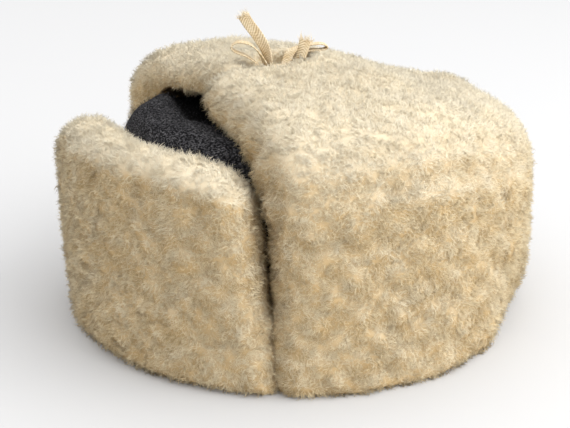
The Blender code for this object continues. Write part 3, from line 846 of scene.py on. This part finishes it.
def build_tape(name, title, route, material, seed):
    """A woven tape with a herringbone weave in relief, rounded edges and a frayed free end."""
    frames = tape_frames(route)
    points, heights = [], []
    for place, across, up, distance in frames:
        for side in (1, -1):
            for column in range(TAPE_COLUMNS):
                share = (column + 0.5) / TAPE_COLUMNS if side > 0 else 1 - (column + 0.5) / TAPE_COLUMNS
                weave = herringbone(distance, share)
                edge = math.sqrt(max(0.0, 1 - (2 * share - 1) ** EDGE_SHARPNESS))
                edge = EDGE_THICKNESS + (1 - EDGE_THICKNESS) * edge
                thick = TAPE_THICKNESS / 2 * edge - RIB_HEIGHT * (1 - weave)
                points.append(place + across * TAPE_WIDTH * (0.5 - share) + up * side * thick)
                heights.append(weave)
    ring = 2 * TAPE_COLUMNS
    faces = []
    for row in range(len(frames) - 1):
        for index in range(ring):
            after = (index + 1) % ring
            low, high = row * ring, (row + 1) * ring
            faces.append((low + index, low + after, high + after))
            faces.append((low + index, high + after, high + index))
    for start, turn in ((0, 1), ((len(frames) - 1) * ring, -1)):
        for index in range(1, ring - 1):
            faces.append((start, start + index + 1, start + index)[::turn])
    place, across, _, _ = frames[-1]
    ahead = (frames[-1][0] - frames[-3][0]).normalized()
    threads, thread_faces = frays(place, ahead, across, np.random.default_rng(seed))
    piece = mesh_object(
        title,
        np.concatenate([np.array(points), threads]),
        np.concatenate([np.array(faces), thread_faces + len(points)]),
        material,
    )
    set_attribute(piece, "rib", "FLOAT", heights + [FRAY_RIB] * len(threads))
    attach(piece, "root")
    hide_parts(name)
    return piece, frames


def build_ties(material):
    for side, route, seed in (("left", LEFT_TAPE_ROUTE, 61), ("right", RIGHT_TAPE_ROUTE, 62)):
        piece, frames = build_tape(f"tie_tape_{side}", f"tie_{side}", route, material, seed)


def build_floor():
    """A level, pale floor that fills the camera's view."""
    material, nodes, links = new_material("pale_paper")
    shader = add(nodes, "ShaderNodeBsdfPrincipled", Roughness=0.9)
    shader.inputs["Base Color"].default_value = FLOOR_COLOUR
    shader.inputs["Specular IOR Level"].default_value = 0.1
    output = nodes.new("ShaderNodeOutputMaterial")
    links.new(shader.outputs[0], output.inputs["Surface"])
    half = FLOOR_HALF_SIZE
    corners = np.array([(-half, -half, 0.0), (half, -half, 0.0), (half, half, 0.0), (-half, half, 0.0)])
    floor = mesh_object("floor", corners, np.array([(0, 1, 2), (0, 2, 3)]), material, False)


def aim(obj, target):
    obj.rotation_euler = (Vector(target) - obj.location).to_track_quat("-Z", "Y").to_euler()


def soft_box(name, place, size, power):
    light = bpy.data.lights.new(name, "AREA")
    light.shape = "SQUARE"
    light.size = size
    light.energy = power
    obj = bpy.data.objects.new(name, light)
    bpy.context.scene.collection.objects.link(obj)
    obj.location = place
    aim(obj, LIGHT_TARGET)


def build_lights():
    """Soft light from above and from the photo's right, and a bright room all round."""
    world = bpy.data.worlds.new("studio")
    world.use_nodes = True
    azimuth = math.radians(CAMERA_AZIMUTH)
    right = Vector((math.cos(azimuth), math.sin(azimuth), 0.0))
    away = Vector((-math.sin(azimuth), math.cos(azimuth), 0.0))
    nodes, links = world.node_tree.nodes, world.node_tree.links
    place = nodes.new("ShaderNodeTexCoord")
    towards = add(nodes, "ShaderNodeVectorMath", operation="DOT_PRODUCT")
    towards.inputs[1].default_value = (right * 0.60 - away * 0.25 + Vector((0, 0, 0.7))).normalized()
    links.new(place.outputs["Generated"], towards.inputs[0])
    room = ramp(nodes, (0.0, ROOM_DARKEST), (1.0, (1.0, 1.0, 1.0)))
    links.new(contrast(nodes, links, towards.outputs["Value"], -0.5, 0.7), room.inputs["Fac"])
    links.new(room.outputs["Color"], nodes["Background"].inputs["Color"])
    nodes["Background"].inputs["Strength"].default_value = ROOM_STRENGTH
    bpy.context.scene.world = world
    soft_box("overhead", right * 0.95 - away * 0.50 + Vector((0, 0, 1.00)), LIGHT_SIZE, LIGHT_POWER)


def build_camera():
    camera = bpy.data.objects.new("camera", bpy.data.cameras.new("camera"))
    bpy.context.scene.collection.objects.link(camera)
    azimuth, elevation = math.radians(CAMERA_AZIMUTH), math.radians(CAMERA_ELEVATION)
    level = math.cos(elevation)
    back = Vector((math.sin(azimuth) * level, -math.cos(azimuth) * level, math.sin(elevation)))
    right = Vector((math.cos(azimuth), math.sin(azimuth), 0.0))
    turned = Matrix((right, back.cross(right), back)).transposed().to_4x4()
    turned.translation = CAMERA_PLACE
    camera.matrix_world = turned
    camera.data.lens = CAMERA_LENS_MM
    camera.data.sensor_width = 36.0
    camera.data.clip_start = 0.01
    bpy.context.scene.camera = camera


# Fleece pieces: node, piece, strands, seed, whether it holds the pelt
FleecePiece = namedtuple("FleecePiece", "node title strands seed with_pelt")
FLEECE_PIECES = (
    FleecePiece("peak", "peak_fleece", 82000, 1, True),
    FleecePiece("ear_flap_left", "ear_flap_left_fleece", 72000, 2, True),
    FleecePiece("ear_flap_left", "ear_flap_left_tips", 95000, 3, False),
    FleecePiece("ear_flap_right", "ear_flap_right_fleece", 70000, 4, True),
    FleecePiece("ear_flap_right", "ear_flap_right_tips", 70000, 5, False),
)


def build_fleece():
    material = wool_material()
    surfaces = {name: pelt(name) for name in {row.node for row in FLEECE_PIECES}}
    for row in FLEECE_PIECES:
        fleece(row.node, row.title, row.strands, row.seed, row.with_pelt, surfaces[row.node], material)


def main():
    bpy.context.scene.view_settings.view_transform = "Standard"
    build_camera()
    build_ties(cotton_material("cotton_tape", True))
    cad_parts["tie_knot"].data.materials[0] = cotton_material("cotton_knot", False)
    build_fleece()
    build_crown(felt_material())
    build_floor()
    build_lights()


main()
bpy.context.view_layer.update()
